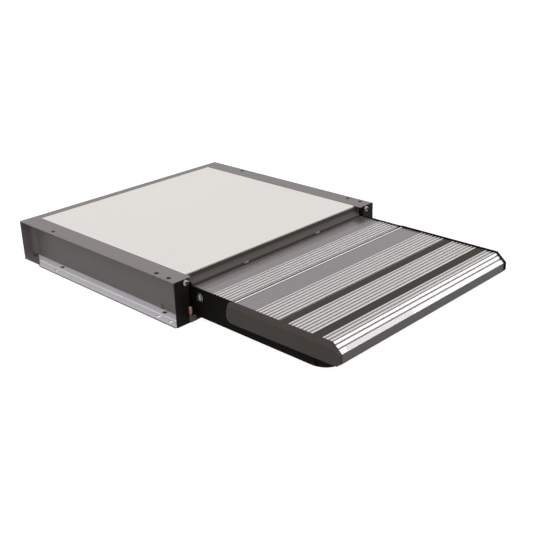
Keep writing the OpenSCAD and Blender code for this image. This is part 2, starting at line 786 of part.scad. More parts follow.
// Points on the bevel: share runs from its top to its foot, lift is square to it
bevel_l = sqrt(bevel_w * bevel_w + bevel_h * bevel_h);
function bevel_point(share, lift) = [
    bevel_out + share * bevel_w + lift * bevel_h / bevel_l,
    tread_z - share * bevel_h + lift * bevel_w / bevel_l];
module bevel_groove(share) {
    half = bevel_groove_w / 2 / bevel_l;
    polygon([bevel_point(share - half, bite), bevel_point(share + half, bite),
        bevel_point(share + half, -bevel_groove_d), bevel_point(share - half, -bevel_groove_d)]);
}
module nose_plank() {
    back = nose_out - trim_t - nose_wall_t;
    slope = bevel_h / bevel_w;
    drop = nose_wall_t * bevel_l / bevel_w;
    back_z = tread_z - drop - (back - bevel_out) * slope;
    skin_meets = bevel_out + (tread_z - drop - skin_z) / slope;
    plank([nose_joint]) difference() {
        union() {
            skin(nose_joint, nose_ribs_out, rebate_z);
            skin(nose_ribs_out, bevel_out, base_z);
            ribs(nose_ribs_out + rib_foot / 2, nose_rib_count);
            polygon([
                [bevel_out - nose_wall_t, skin_z], [bevel_out - nose_wall_t, base_z],
                bevel_point(0, 0), bevel_point(1, 0), [nose_out - trim_t, bevel_z],
                [nose_out - trim_t, lip_z], [back, lip_z], [back, back_z], [skin_meets, skin_z]]);
        }
        bevel_groove(upper_groove);
        bevel_groove(lower_groove);
    }
}
module rubber_strip(out) {
    color(rubber_black) from_front() out_section([-plank_half, plank_half])
        translate([out + fit, rebate_z]) square([rubber_w - 2 * fit, rubber_z - rebate_z]);
}
module rear_rubber_strip() {
    rubber_strip(rear_rubber_out);
}
module front_rubber_strip() {
    rubber_strip(front_rubber_out);
}
module front_trim() {
    color(trim_grey) from_front() out_section([-plank_half, plank_half])
        translate([nose_out - trim_t, lip_z]) square([trim_t, bevel_z - lip_z]);
}
module reflector_strip() {
    from = lower_groove + (bevel_groove_w / 2 + reflector_margin) / bevel_l;
    to = 1 - reflector_margin / bevel_l;
    color(pale_panel) from_front()
        out_section([reflector_inset - plank_half, reflector_inset - plank_half + reflector_l])
        polygon([bevel_point(from, 0), bevel_point(to, 0),
            bevel_point(to, reflector_t), bevel_point(from, reflector_t)]);
}

// Carriage

module cap_outline(drop, draft) {
    r = cap_corner_r - draft;
    top_r = cap_top_r - draft;
    top = tread_z + cap_rise - drop;
    rear = cap_start + draft;
    front = nose_out + cap_rise - draft;
    top_lead = cap_rise * (bevel_l - bevel_w) / bevel_h;
    front_lead = cap_rise * (bevel_l - bevel_h) / bevel_w;
    hull() {
        translate([rear + top_r, top - top_r]) circle(r = top_r);
        translate([rear + r, cap_z0 + draft + r]) circle(r = r);
        polygon([
            [bevel_out + top_lead - draft, top], [front, bevel_z + front_lead - draft],
            [front, lip_z + cap_lip_rise + draft],
            [nose_out - cap_chin, cap_z1 + draft], [rear + r, cap_z0 + draft]]);
    }
}
module end_cap(side) {
    face_t = cap_t / 8;
    color(cap_grey) from_front() on_side(side) difference() {
        hull() {
            out_section([arm_out, arm_out + face_t]) cap_outline(0, 0);
            out_section([cap_out - face_t, cap_out]) cap_outline(cap_slope, cap_draft);
        }
        rod_x([arm_out - bite, arm_out + bolt_head_t + fit], -front_bar_out, bolt_z, bolt_head_r + fit);
        for (out = cap_screw_outs)
            rod_x([arm_out - bite, arm_out + cap_t / 2 + bite], -out, cap_screw_z, screw_r + screw_fit);
    }
}
module arm_outline() {
    difference() {
        polygon([
            [-arm_tail, arm_z0], [-arm_tail, skin_z], [nose_out - arm_slope, skin_z],
            [arm_front, bevel_z - nose_wall_t], [arm_front, arm_z0]]);
        difference() {
            translate([arm_straight, arm_z0 - bite]) square(arm_corner_r);
            translate([arm_straight, arm_z0 + arm_corner_r]) circle(r = arm_corner_r, $fn = 96);
        }
    }
}
// The rim follows the planks' end: its corner circles lie inside the bevel by this inset
module rim_outline() {
    inset = rim_corner_r - rim_proud;
    top_share = (rim_corner_r - rim_rise - inset * bevel_w / bevel_l) / bevel_h;
    front_share = 1 - inset * (1 - bevel_h / bevel_l) / bevel_w;
    rim_z = tread_z + rim_rise;
    hull() {
        polygon([[-tail_w, rim_z], [-tail_w, lip_z], [nose_out - arm_slope, lip_z]]);
        translate(bevel_point(top_share, -inset)) circle(r = rim_corner_r);
        translate(bevel_point(front_share, -inset)) circle(r = rim_corner_r);
        translate([nose_out - inset, lip_z + rim_corner_r]) circle(r = rim_corner_r);
    }
}
module arm(side) {
    color(black_paint) from_front() on_side(side) difference() {
        union() {
            out_section([arm_in, arm_out]) union() {
                arm_outline();
                rim_outline();
            }
            block([arm_flange_in, arm_in + bite], [-arm_flange_out, tail_w], [arm_flange_z, skin_z]);
        }
        for (out = bar_outs)
            rod_x([arm_in - bite, arm_out + bite], -out, bolt_z, bolt_r + screw_fit);
        for (out = cap_screw_outs)
            rod_x([arm_in - bite, arm_out + bite], -out, cap_screw_z, screw_r + screw_fit);
        for (y = [front_roller_in, rear_roller_in])
            rod_x([arm_in - bite, arm_out + bite], y, roller_z, axle_r + screw_fit);
        for (out = plank_rivet_outs)
            rod_z(arm_flange_mid, -out, [arm_flange_z - bite, skin_z + bite], screw_r + screw_fit);
        if (side < 0)
            rod_x([arm_in - bite, arm_out + bite], -stud_out, stud_z, screw_r + screw_fit);
    }
}
module crossbar(out) {
    color(aluminium) from_front() difference() {
        block([-arm_in, arm_in], [-out - bar_w / 2, -out + bar_w / 2], [bar_z0, bar_z1]);
        both_sides()
            rod_x([arm_in - bolt_len - bite, arm_in + bite], -out, bolt_z, bolt_r + screw_fit);
    }
}
module rear_crossbar() {
    crossbar(-rear_bar_in);
}
module middle_crossbar() {
    crossbar(middle_bar_out);
}
module front_crossbar() {
    crossbar(front_bar_out);
}
module arm_bolts() {
    color(steel) from_front() both_sides() for (out = bar_outs) {
        rod_x([arm_in - bolt_len, arm_out + bite], -out, bolt_z, bolt_r);
        translate([arm_out, -out, bolt_z]) rotate([0, 90, 0]) pan_head(bolt_head_r, bolt_head_t);
    }
}
module cap_screws() {
    color(steel) from_front() both_sides() for (out = cap_screw_outs) {
        rod_x([arm_in - bite, arm_out + cap_t / 2], -out, cap_screw_z, screw_r);
        translate([arm_in, -out, cap_screw_z]) rotate([0, -90, 0]) pan_head(screw_head_r, screw_head_t);
    }
}
module plank_rivets() {
    color(aluminium) from_front() both_sides() for (out = plank_rivet_outs) {
        rod_z(arm_flange_mid, -out, [arm_flange_z - bite, rebate_z - 2 * bite], screw_r);
        translate([arm_flange_mid, -out, arm_flange_z]) rotate([180, 0, 0])
            pan_head(screw_head_r, screw_head_t);
    }
}
module roller_axles() {
    color(steel) from_front() both_sides() for (y = [front_roller_in, rear_roller_in]) {
        rod_x([axle_end, arm_out + bite], y, roller_z, axle_r);
        rod_x([roller_out + fit, arm_in], y, roller_z, shoulder_r);
        translate([arm_out, y, roller_z]) rotate([0, 90, 0]) pan_head(shoulder_r, axle_head_t);
    }
}
module axle_clips() {
    color(steel) from_front() both_sides() for (y = [front_roller_in, rear_roller_in])
        difference() {
            rod_x([roller_in - fit - axle_clip_t, roller_in - fit], y, roller_z, shoulder_r);
            rod_x([axle_end, roller_in], y, roller_z, axle_r + screw_fit);
        }
}
module roller(side, y) {
    chamfer = fit * 3;
    color(nylon) from_front() on_side(side) translate([roller_in, y, roller_z]) rotate([0, 90, 0])
        rotate_extrude() polygon([
            [axle_r + running_gap, 0], [roller_r - chamfer, 0], [roller_r, chamfer],
            [roller_r, roller_w - chamfer], [roller_r - chamfer, roller_w],
            [axle_r + running_gap, roller_w]]);
}

// Lock

module lock_stud() {
    color(steel) from_front() on_side(-1) {
        rod_x([arm_in, arm_out + bite], -stud_out, stud_z, screw_r);
        rod_x([arm_out, mouth_half - 2 * lever_gap], -stud_out, stud_z, stud_r);
    }
}
module lever_pin() {
    color(steel) from_front() on_side(-1) {
        rod_x([lever_in - fit - bite, web_out + bite], lever_pin_in, lever_pin_z, lever_pin_r);
        rod_x([web_out, web_out + screw_head_t], lever_pin_in, lever_pin_z, lever_pin_head_r);
        rod_x([lever_out + fit, web_in], lever_pin_in, lever_pin_z, lever_pin_head_r);
        rod_x([lever_in - 2 * fit, lever_in - fit], lever_pin_in, lever_pin_z, lever_pin_head_r);
    }
}
module lever_stem(slack) {
    block([grip_x - lever_t / 2 - slack, grip_x + lever_t / 2 + slack],
        [-lever_reach - slack, lever_t - lever_reach + slack],
        [lever_z1 - lever_t, grip_z + grip_l - lever_t + slack]);
}
module lock_lever() {
    color(steel) from_front() on_side(-1) difference() {
        union() {
            block([lever_in, lever_out], [0, lever_pin_in], [lever_z0, lever_z1]);
            block([lever_in, lever_out], [-lever_reach, bite], [lever_z1 - lever_t, lever_z1]);
            block([lever_in, lever_out], [tooth_y, tooth_y + tooth_w], [lever_z0, tooth_z]);
            rod_x([lever_in, lever_out], lever_pin_in, lever_pin_z, lever_boss_r);
            block([lever_in, grip_x], [-lever_reach, lever_t - lever_reach], [lever_z1 - lever_t, lever_z1]);
            block([lever_out, grip_x + lever_t / 2], [-lever_reach, lever_t - lever_reach],
                [lever_z1 - lever_t, lever_z1 - lever_t + lever_foot_h]);
            lever_stem(0);
        }
        rod_x([lever_in - bite, lever_out + bite], lever_pin_in, lever_pin_z, lever_pin_r + running_gap);
    }
}
module lever_grip() {
    stem_y = lever_t / 2 - lever_reach;
    round_r = lever_t / 2;
    color(red_grip) from_front() on_side(-1) difference() {
        hull() for (x = [-1, 1], y = [-1, 1])
            translate([grip_x + x * (grip_w / 2 - round_r), stem_y + y * (grip_d / 2 - round_r), grip_z])
                cylinder(h = grip_l, r = round_r, $fn = 32);
        lever_stem(screw_fit);
    }
}

side_channel(-1);  // left_side_channel
side_channel(1);  // right_side_channel
mounting_rail(-1);  // left_mounting_rail
mounting_rail(1);  // right_mounting_rail
flange_nuts();
back_panel();
top_panel();
panel_ledge(-1);  // left_panel_ledge
panel_ledge(1);  // right_panel_ledge
front_crossbeam();
wiper_seal();
seal_clips();
end_plate(-1);  // left_end_plate
end_plate(1);  // right_end_plate
front_sill();
rear_crossmember();
roller_track(-1);  // left_roller_track
roller_track(1);  // right_roller_track
front_stop_buffers();
rear_stop_buffers();
end_plate_screws();
end_plate_rivets();
rail_rivets();
track_screws();
lever_pin();
rear_plank();
middle_plank();
front_plank();
nose_plank();
rear_rubber_strip();
front_rubber_strip();
front_trim();
reflector_strip();
end_cap(-1);  // left_end_cap
end_cap(1);  // right_end_cap
arm(-1);  // left_arm
arm(1);  // right_arm
rear_crossbar();
middle_crossbar();
front_crossbar();
arm_bolts();
cap_screws();
plank_rivets();
roller_axles();
axle_clips();
lock_stud();
roller(-1, front_roller_in);  // left_front_roller
roller(-1, rear_roller_in);  // left_rear_roller
roller(1, front_roller_in);  // right_front_roller
roller(1, rear_roller_in);  // right_rear_roller
lock_lever();
lever_grip();
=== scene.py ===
# %% [markdown]
# Caravan pull out step
# This lesson dresses a solid model of a sliding caravan step. The model arrives as a fixed
# frame of named parts. We give each part the finish of the real one, add the small shapes that
# the solids leave out, and light the step as in a product photograph. Sizes are written in
# millimetres and turned to metres by MM. FRONT_Y is the plane of the housing's front, from which
# the tread comes out towards minus Y.

# %% Load the solid model
import math

import bmesh
import bpy
from mathutils import Matrix, Vector


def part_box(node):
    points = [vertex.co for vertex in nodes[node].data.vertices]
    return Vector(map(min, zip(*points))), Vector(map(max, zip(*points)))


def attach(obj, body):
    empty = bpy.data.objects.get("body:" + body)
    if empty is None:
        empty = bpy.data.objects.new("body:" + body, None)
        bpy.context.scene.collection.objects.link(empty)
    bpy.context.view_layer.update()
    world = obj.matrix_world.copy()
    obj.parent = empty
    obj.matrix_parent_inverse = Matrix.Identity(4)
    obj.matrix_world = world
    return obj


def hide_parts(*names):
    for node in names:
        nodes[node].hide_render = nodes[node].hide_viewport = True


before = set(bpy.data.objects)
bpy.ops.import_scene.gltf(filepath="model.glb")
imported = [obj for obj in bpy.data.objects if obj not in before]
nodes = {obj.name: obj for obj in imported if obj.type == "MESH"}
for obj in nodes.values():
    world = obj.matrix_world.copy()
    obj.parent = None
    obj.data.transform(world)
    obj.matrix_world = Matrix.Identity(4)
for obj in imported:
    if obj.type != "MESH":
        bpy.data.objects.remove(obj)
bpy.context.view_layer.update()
MM = 0.001
FRONT_Y = -202.0
print("parts in the frame:", len(nodes))

# %% [markdown]
# The camera
# A product photograph is usually taken with a long lens from above one corner. The angles and
# the distance were found by matching the corners of the housing, so the camera is built from
# an azimuth, an elevation, a roll and a point that it looks at. Building the three axes by hand
# keeps the roll exact, which a tracking constraint would not.

# %% Place the camera
IMAGE_PX = 533
SENSOR_MM = 36.0
FOCAL_PX = 896.64
AZIMUTH = math.radians(-45.026)
ELEVATION = math.radians(22.919)
ROLL = 0.034
DISTANCE = 1.70695
LOOK_AT = Vector((-0.02428, -0.17769, 0.02920))


def place_camera():
    back = Vector((math.sin(AZIMUTH) * math.cos(ELEVATION),
                   -math.cos(AZIMUTH) * math.cos(ELEVATION),
                   math.sin(ELEVATION)))
    right = Vector((math.cos(AZIMUTH), math.sin(AZIMUTH), 0.0))
    up = back.cross(right)
    tilted_right = right * math.cos(ROLL) - up * math.sin(ROLL)
    tilted_up = right * math.sin(ROLL) + up * math.cos(ROLL)
    spin = Matrix((tilted_right, tilted_up, back)).transposed().to_4x4()
    lens = bpy.data.cameras.new("product_camera")
    lens.sensor_width = SENSOR_MM
    lens.lens = FOCAL_PX / IMAGE_PX * SENSOR_MM
    camera = bpy.data.objects.new("product_camera", lens)
    camera.matrix_world = Matrix.Translation(LOOK_AT + back * DISTANCE) @ spin
    bpy.context.scene.collection.objects.link(camera)
    bpy.context.scene.camera = camera
    return camera


camera = place_camera()
print("camera at", [round(v, 3) for v in camera.location], "lens mm", round(camera.data.lens, 2))

# %% [markdown]
# Colours and nodes
# Paint cards and picture editors give colours as sRGB hex values, but a shader counts light, so
# it needs linear values. One function converts them. A second one adds a node, sets it and links
# it in one line, so a material reads from top to bottom like a recipe. A noise texture seldom
# leaves the middle of its range, so NOISE_LOW and NOISE_HIGH are taken as its ends.

# %% Helpers for colours and shader nodes
NOISE_LOW = 0.3
NOISE_HIGH = 0.7


def linear(hex_colour):
    parts = [int(hex_colour[i:i + 2], 16) / 255 for i in (1, 3, 5)]
    return [p / 12.92 if p <= 0.04045 else ((p + 0.055) / 1.055) ** 2.4 for p in parts] + [1.0]


def add(tree, kind, inputs=None, **settings):
    node = tree.nodes.new(kind)
    for name, value in settings.items():
        setattr(node, name, value)
    for name, value in (inputs or {}).items():
        if isinstance(value, bpy.types.NodeSocket):
            tree.links.new(value, node.inputs[name])
        else:
            node.inputs[name].default_value = value
    return node


def new_material(name, **sockets):
    material = bpy.data.materials.new(name)
    material.use_nodes = True
    tree = material.node_tree
    shader = tree.nodes["Principled BSDF"]
    for socket, value in sockets.items():
        shader.inputs[socket.replace("_", " ")].default_value = value
    return material, tree, shader


print("grey card #808080 is linear", [round(v, 3) for v in linear("#808080")[:3]])

# %% [markdown]
# Powder coat
# The housing is folded steel sheet with a baked powder coat. The powder melts into a skin with a
# fine waviness called orange peel, about 1.5 mm from bump to bump, and a low sheen. The peel is
# too fine for this camera, so it is drawn at 3 mm. A slow cloud of slightly lighter and darker
# colour stands for handling marks, which keeps a large flat face from looking like plain paint.
# The end plates and the arms are coated black, the arms a shade deeper. The lever's phosphate
# skin is smoother, so it takes the same recipe with less peel.

# %% Powder coats on the steel sheet
PEEL_MM = 3.0
PEEL_HEIGHT_MM = 0.3
HANDLING_MM = 90.0
COAT_SPREAD = 0.06


def powder_coat(name, dark, light, roughness, sheen, peel=0.06):
    material, tree, shader = new_material(name, Specular_IOR_Level=sheen)
    place = add(tree, "ShaderNodeTexCoord").outputs["Object"]
    cloud = add(tree, "ShaderNodeTexNoise", {"Vector": place, "Scale": 1 / (HANDLING_MM * MM),
                                             "Detail": 4.0, "Roughness": 0.6})
    colour = add(tree, "ShaderNodeMix", {"Factor": cloud.outputs["Fac"], "A": linear(dark),
                                         "B": linear(light)}, data_type="RGBA")
    tree.links.new(colour.outputs["Result"], shader.inputs["Base Color"])
    rough = add(tree, "ShaderNodeMapRange", {"Value": cloud.outputs["Fac"],
                                             "From Min": NOISE_LOW, "From Max": NOISE_HIGH,
                                             "To Min": roughness - COAT_SPREAD,
                                             "To Max": roughness + COAT_SPREAD})
    tree.links.new(rough.outputs["Result"], shader.inputs["Roughness"])
    peel_noise = add(tree, "ShaderNodeTexNoise", {"Vector": place, "Scale": 1 / (PEEL_MM * MM),
                                                  "Detail": 2.0})
    bump = add(tree, "ShaderNodeBump", {"Height": peel_noise.outputs["Fac"], "Strength": peel,
                                        "Distance": PEEL_HEIGHT_MM * MM})
    tree.links.new(bump.outputs["Normal"], shader.inputs["Normal"])
    return material


grey_coat = powder_coat("powder_coated_steel_grey", "#756f6e", "#827c7b", 0.5, 0.25)
black_coat = powder_coat("powder_coated_steel_black", "#191815", "#211f1c", 0.6, 0.08)
arm_coat = powder_coat("powder_coated_steel_deep_black", "#0f0e0b", "#151411", 0.65, 0.04)
beam_coat = powder_coat("powder_coated_steel_dark_grey", "#4b4642", "#55504b", 0.5, 0.2)
trim_coat = powder_coat("powder_coated_aluminium_dark_grey", "#625e5e", "#6e6969", 0.5, 0.2)
lever_steel = powder_coat("phosphated_steel_grey", "#625c57", "#706963", 0.5, 0.2, peel=0.02)
print("coats:", grey_coat.name, black_coat.name, arm_coat.name, beam_coat.name, trim_coat.name,
      lever_steel.name)

# %% [markdown]
# The pale top panel
# The lid between the flanges is a sheet of glass-fibre laminate with a matt pale face. Its
# surface shows the faint print of the fibre mat, a few millimetres across. A soft noise in the
# colour and a shallow bump give that without a picture. Its side and front edges are trimmed
# with a small bevel. A narrow band along them is painted near white, a painted highlight where
# the edges catch the light. The material finds those edges by their place.

# %% Glass-fibre laminate for the top panel
MAT_FIBRE_MM = 6.0
FIBRE_HEIGHT_MM = 0.2
PANEL_HALF_MM = 230.2
PANEL_FRONT_MM = -183.5
SIDE_HIGHLIGHT_MM = 1.4
FRONT_HIGHLIGHT_MM = 1.6

laminate, tree, shader = new_material("glass_fibre_laminate_matt_pale", Roughness=0.62)
place = add(tree, "ShaderNodeTexCoord").outputs["Object"]
wide = add(tree, "ShaderNodeTexNoise", {"Vector": place, "Scale": 1 / (HANDLING_MM * 2 * MM),
                                        "Detail": 5.0, "Roughness": 0.55})
pale = add(tree, "ShaderNodeMix", {"Factor": wide.outputs["Fac"], "A": linear("#dfdad6"),
                                   "B": linear("#e6e2de")}, data_type="RGBA")
axes = add(tree, "ShaderNodeSeparateXYZ", {"Vector": place})
across = add(tree, "ShaderNodeMath", {0: axes.outputs["X"]}, operation="ABSOLUTE")
side = add(tree, "ShaderNodeMath", {0: across.outputs["Value"],
                                    1: (PANEL_HALF_MM - SIDE_HIGHLIGHT_MM) * MM},
           operation="GREATER_THAN")
front = add(tree, "ShaderNodeMath", {0: axes.outputs["Y"],
                                     1: (PANEL_FRONT_MM + FRONT_HIGHLIGHT_MM) * MM},
            operation="LESS_THAN")
# painted highlight: a narrow band along the side and front edges is painted near white
lit_edge = add(tree, "ShaderNodeMath", {0: side.outputs["Value"], 1: front.outputs["Value"]},
              operation="MAXIMUM")
edge_highlight = add(tree, "ShaderNodeMix", {"Factor": lit_edge.outputs["Value"],
                                   "A": pale.outputs["Result"], "B": linear("#fbfaf8")},
           data_type="RGBA")
tree.links.new(edge_highlight.outputs["Result"], shader.inputs["Base Color"])
fibre = add(tree, "ShaderNodeTexNoise", {"Vector": place, "Scale": 1 / (MAT_FIBRE_MM * MM),
                                         "Detail": 3.0})
bump = add(tree, "ShaderNodeBump", {"Height": fibre.outputs["Fac"], "Strength": 0.04,
                                    "Distance": FIBRE_HEIGHT_MM * MM})
tree.links.new(bump.outputs["Normal"], shader.inputs["Normal"])
print("top panel:", laminate.name)

# %% [markdown]
# Mill-finish aluminium
# Rails, tracks and crossbars are extruded aluminium as it leaves the press, with die lines along
# the length. A noise that is stretched along one axis gives such lines. The rails lie outside in
# the weather, so a chalky oxide covers their metal and they look pale and matt. Their outer edge
# face is painted darker, a painted shade on the face that turns away from the light.

# %% Extruded aluminium, mill finish and oxidised
DIE_LINE_MM = 1.2
DIE_LINE_STRETCH = 60.0
DIE_LINE_HEIGHT_MM = 0.1
METAL_SPREAD = 0.08
RAIL_HALF_MM = 273.0
RAIL_SHADE_EDGE_MM = 0.4


def die_lines(tree, place, along):
    squeeze = [1.0, 1.0, 1.0]
    squeeze["XYZ".index(along)] = 1 / DIE_LINE_STRETCH
    grain = add(tree, "ShaderNodeMapping", {"Vector": place, "Scale": squeeze})
    return add(tree, "ShaderNodeTexNoise", {"Vector": grain.outputs["Vector"],
                                            "Scale": 1 / (DIE_LINE_MM * MM), "Detail": 3.0})


def finish_metal(tree, shader, lines, roughness, depth):
    rough = add(tree, "ShaderNodeMapRange", {"Value": lines.outputs["Fac"],
                                             "From Min": NOISE_LOW, "From Max": NOISE_HIGH,
                                             "To Min": roughness - METAL_SPREAD,
                                             "To Max": roughness + METAL_SPREAD})
    tree.links.new(rough.outputs["Result"], shader.inputs["Roughness"])
    bump = add(tree, "ShaderNodeBump", {"Height": lines.outputs["Fac"], "Strength": depth,
                                        "Distance": DIE_LINE_HEIGHT_MM * MM})
    tree.links.new(bump.outputs["Normal"], shader.inputs["Normal"])


def mill_aluminium(name, along, dark, light, roughness, bare=1.0):
    material, tree, shader = new_material(name, Metallic=bare)
    place = add(tree, "ShaderNodeTexCoord").outputs["Object"]
    lines = die_lines(tree, place, along)
    colour = add(tree, "ShaderNodeMix", {"Factor": lines.outputs["Fac"], "A": linear(dark),
                                         "B": linear(light)}, data_type="RGBA")
    tree.links.new(colour.outputs["Result"], shader.inputs["Base Color"])
    finish_metal(tree, shader, lines, roughness, depth=0.15)
    return material, tree, shader, place, colour


# painted shade: the outer edge face of each rail is painted a darker grey
def paint_outer_edge_shade(tree, shader, place, colour):
    axes = add(tree, "ShaderNodeSeparateXYZ", {"Vector": place})
    across = add(tree, "ShaderNodeMath", {0: axes.outputs["X"]}, operation="ABSOLUTE")
    edge = add(tree, "ShaderNodeMath", {0: across.outputs["Value"],
                                        1: (RAIL_HALF_MM - RAIL_SHADE_EDGE_MM) * MM},
               operation="GREATER_THAN")
    toned = add(tree, "ShaderNodeMix", {"Factor": edge.outputs["Value"],
                                        "A": colour.outputs["Result"], "B": linear("#8e8a8c")},
                data_type="RGBA")
    tree.links.new(toned.outputs["Result"], shader.inputs["Base Color"])


rail_metal, *rail_parts = mill_aluminium("extruded_aluminium_oxidised_along_y", "Y",
                                         "#f2eff4", "#fbf8fd", 0.6, bare=0.0)
paint_outer_edge_shade(*rail_parts)
track_metal = mill_aluminium("extruded_aluminium_mill_finish_along_y", "Y",
                             "#a8a4a7", "#bdb9bc", 0.42)[0]
bar_metal = mill_aluminium("extruded_aluminium_mill_finish_along_x", "X",
                           "#a39fa1", "#b9b5b7", 0.42)[0]
print("mill finish:", rail_metal.name, track_metal.name, bar_metal.name)

# %% [markdown]
# The anodised tread
# The tread planks are the same extruded metal, anodised grey. The film of oxide dulls it, so it
# reflects about half like bare metal. The finishing belt polishes the crests of the ribs, and
# the crests also carry a painted highlight that grows brighter towards the nose. The valleys are
# painted pale, most at the rear, as painted light where the ribs shade them. One material carries
# all these tones: it looks at the height and the depth of each point, so the bright lines always
# follow the ribs. The last rib before the middle plank carries the brightest painted highlight.
# A darker strip along the back is the painted shadow of the crossbeam, the ends of the planks
# carry a paler painted highlight, the two grooves in the bevel are painted with shade, and the
# bevel itself is painted bright as a painted highlight.

# %% Where each tone of the tread lies
TREAD_Z = 66.2 * MM
CREST_BAND = 0.35 * MM
RIB_HEIGHT = 1.6 * MM
VALLEY_BAND = 0.3 * MM
BEVEL_TOP_Y = (FRONT_Y - 315.5) * MM
BEVEL_NORMAL = Vector((0.0, -15.5, 16.8)).normalized()
BEVEL_BAND = 0.25 * MM
PLANK_EDGE_X = (230.4 - 2.2) * MM
# painted shadow: the strip behind this line lies under the crossbeam and is painted darker
BEAM_SHADOW_Y = (FRONT_Y - 27.0) * MM
BAND_Y = (FRONT_Y - 104.3) * MM
BAND_HALF = 3.0 * MM


def height_zones(tree, place, axes):
    crest = add(tree, "ShaderNodeMapRange", {"Value": axes.outputs["Z"],
                                             "From Min": TREAD_Z - CREST_BAND,
                                             "From Max": TREAD_Z - CREST_BAND / 2})
    valley = add(tree, "ShaderNodeMath", {0: axes.outputs["Z"], 1: TREAD_Z - RIB_HEIGHT,
                                          2: VALLEY_BAND}, operation="COMPARE")
    level = BEVEL_NORMAL.dot(Vector((0.0, BEVEL_TOP_Y, TREAD_Z)))
    height = add(tree, "ShaderNodeVectorMath", {0: place, 1: BEVEL_NORMAL},
                 operation="DOT_PRODUCT")
    on_bevel = add(tree, "ShaderNodeMapRange", {"Value": height.outputs["Value"],
                                                "From Min": level - BEVEL_BAND,
                                                "From Max": level - BEVEL_BAND / 2})
    past_ribs = add(tree, "ShaderNodeMath", {0: axes.outputs["Y"], 1: BEVEL_TOP_Y},
                    operation="LESS_THAN")
    bevel = add(tree, "ShaderNodeMath", {0: on_bevel.outputs["Result"],
                                         1: past_ribs.outputs["Value"]}, operation="MULTIPLY")
    return (crest.outputs["Result"], valley.outputs["Value"], past_ribs.outputs["Value"],
            bevel.outputs["Value"])


def place_zones(tree, axes):
    across = add(tree, "ShaderNodeMath", {0: axes.outputs["X"]}, operation="ABSOLUTE")
    # painted highlight: the ends of the planks are painted a paler grey
    lit_plank_end = add(tree, "ShaderNodeMath", {0: across.outputs["Value"], 1: PLANK_EDGE_X},
               operation="GREATER_THAN")
    # painted shadow of the crossbeam along the back of the tread
    beam_shadow = add(tree, "ShaderNodeMath", {0: axes.outputs["Y"], 1: BEAM_SHADOW_Y},
                operation="GREATER_THAN")
    # painted highlight: a ramp along Y that makes the crests brighter towards the nose
    lit_towards_nose = add(tree, "ShaderNodeMapRange", {"Value": axes.outputs["Y"],
                                            "From Min": FRONT_Y * MM, "From Max": BEVEL_TOP_Y})
    # painted highlight: the crest of the last rib before the middle plank is painted brightest
    lit_rib_band = add(tree, "ShaderNodeMath", {0: axes.outputs["Y"], 1: BAND_Y, 2: BAND_HALF},
               operation="COMPARE")
    return (lit_plank_end.outputs["Value"], beam_shadow.outputs["Value"], lit_towards_nose.outputs["Result"],
            lit_rib_band.outputs["Value"])


print("tread zones from mm:", [round(v / MM, 1) for v in (BEAM_SHADOW_Y, BAND_Y, BEVEL_TOP_Y)])

# %% [markdown]
# Laying the tones over each other
# A painter would mask and spray one tone after another. The material does the same: it starts
# from the plain grey and lays each tone over the last one where its zone says so.

# %% Anodised tread with polished crests and painted highlights
def lay_over(tree, colour, layers):
    for zone, tone in layers:
        colour = add(tree, "ShaderNodeMix", {"Factor": zone, "A": colour, "B": tone},
                     data_type="RGBA").outputs["Result"]
    return colour


def tread_metal(name):
    material, tree, shader = new_material(name, Metallic=0.5)
    place = add(tree, "ShaderNodeTexCoord").outputs["Object"]
    lines = die_lines(tree, place, "X")
    axes = add(tree, "ShaderNodeSeparateXYZ", {"Vector": place})
    crest, valley, past_ribs, bevel = height_zones(tree, place, axes)
    lit_plank_end, beam_shadow, lit_towards_nose, lit_rib_band = place_zones(tree, axes)
    # painted light: the valleys between the ribs are painted pale, palest at the rear
    valley_light = lay_over(tree, linear("#e4e0e3"), [(lit_towards_nose, linear("#c4c0c3"))])
    # crests: real polish plus a painted highlight, brighter towards the nose
    polish_and_highlight = lay_over(tree, linear("#c3c0bd"), [(lit_towards_nose, linear("#d6d3d0")),
                                                (lit_rib_band, linear("#f4f1ee"))])
    # past the ribs: painted shade in the bevel grooves (#5c5a5b) and a painted highlight on the
    # bevel faces (#cfcdcb)
    colour = lay_over(tree, linear("#787174"), [
        (lines.outputs["Fac"], linear("#807a7b")), (beam_shadow, linear("#6f6766")),
        (lit_plank_end, linear("#8e8a8d")), (valley, valley_light), (crest, polish_and_highlight),
        (past_ribs, linear("#5c5a5b")), (bevel, linear("#cfcdcb"))])
    tree.links.new(colour, shader.inputs["Base Color"])
    finish_metal(tree, shader, lines, 0.24, depth=0.12)
    return material


tread = tread_metal("anodised_aluminium_polished_highlighted_crests")
print("tread:", tread.name)

# %% [markdown]
# Rubber and plastics
# The grip strips and buffers are moulded EPDM rubber: matt, nearly black, with a dusty bloom. The
# end caps are ABS from a sparked mould, which leaves a fine pebble grain of about 1 mm. Their
# upper facets are painted a little paler, a painted highlight where they face the light. The wiper
# under the beam is a paler soft strip, which fades to grey outdoors. Rollers are natural nylon, a
# waxy off-white, and the clips are grey acetal. The lever's grip is red dipped PVC, glossy and
# soft, and its middle carries a pale painted highlight.

# %% Recipe for moulded materials
BLOOM_MM = 25.0
GRAIN_HEIGHT_MM = 0.2
MOULDED_SPREAD = 0.05


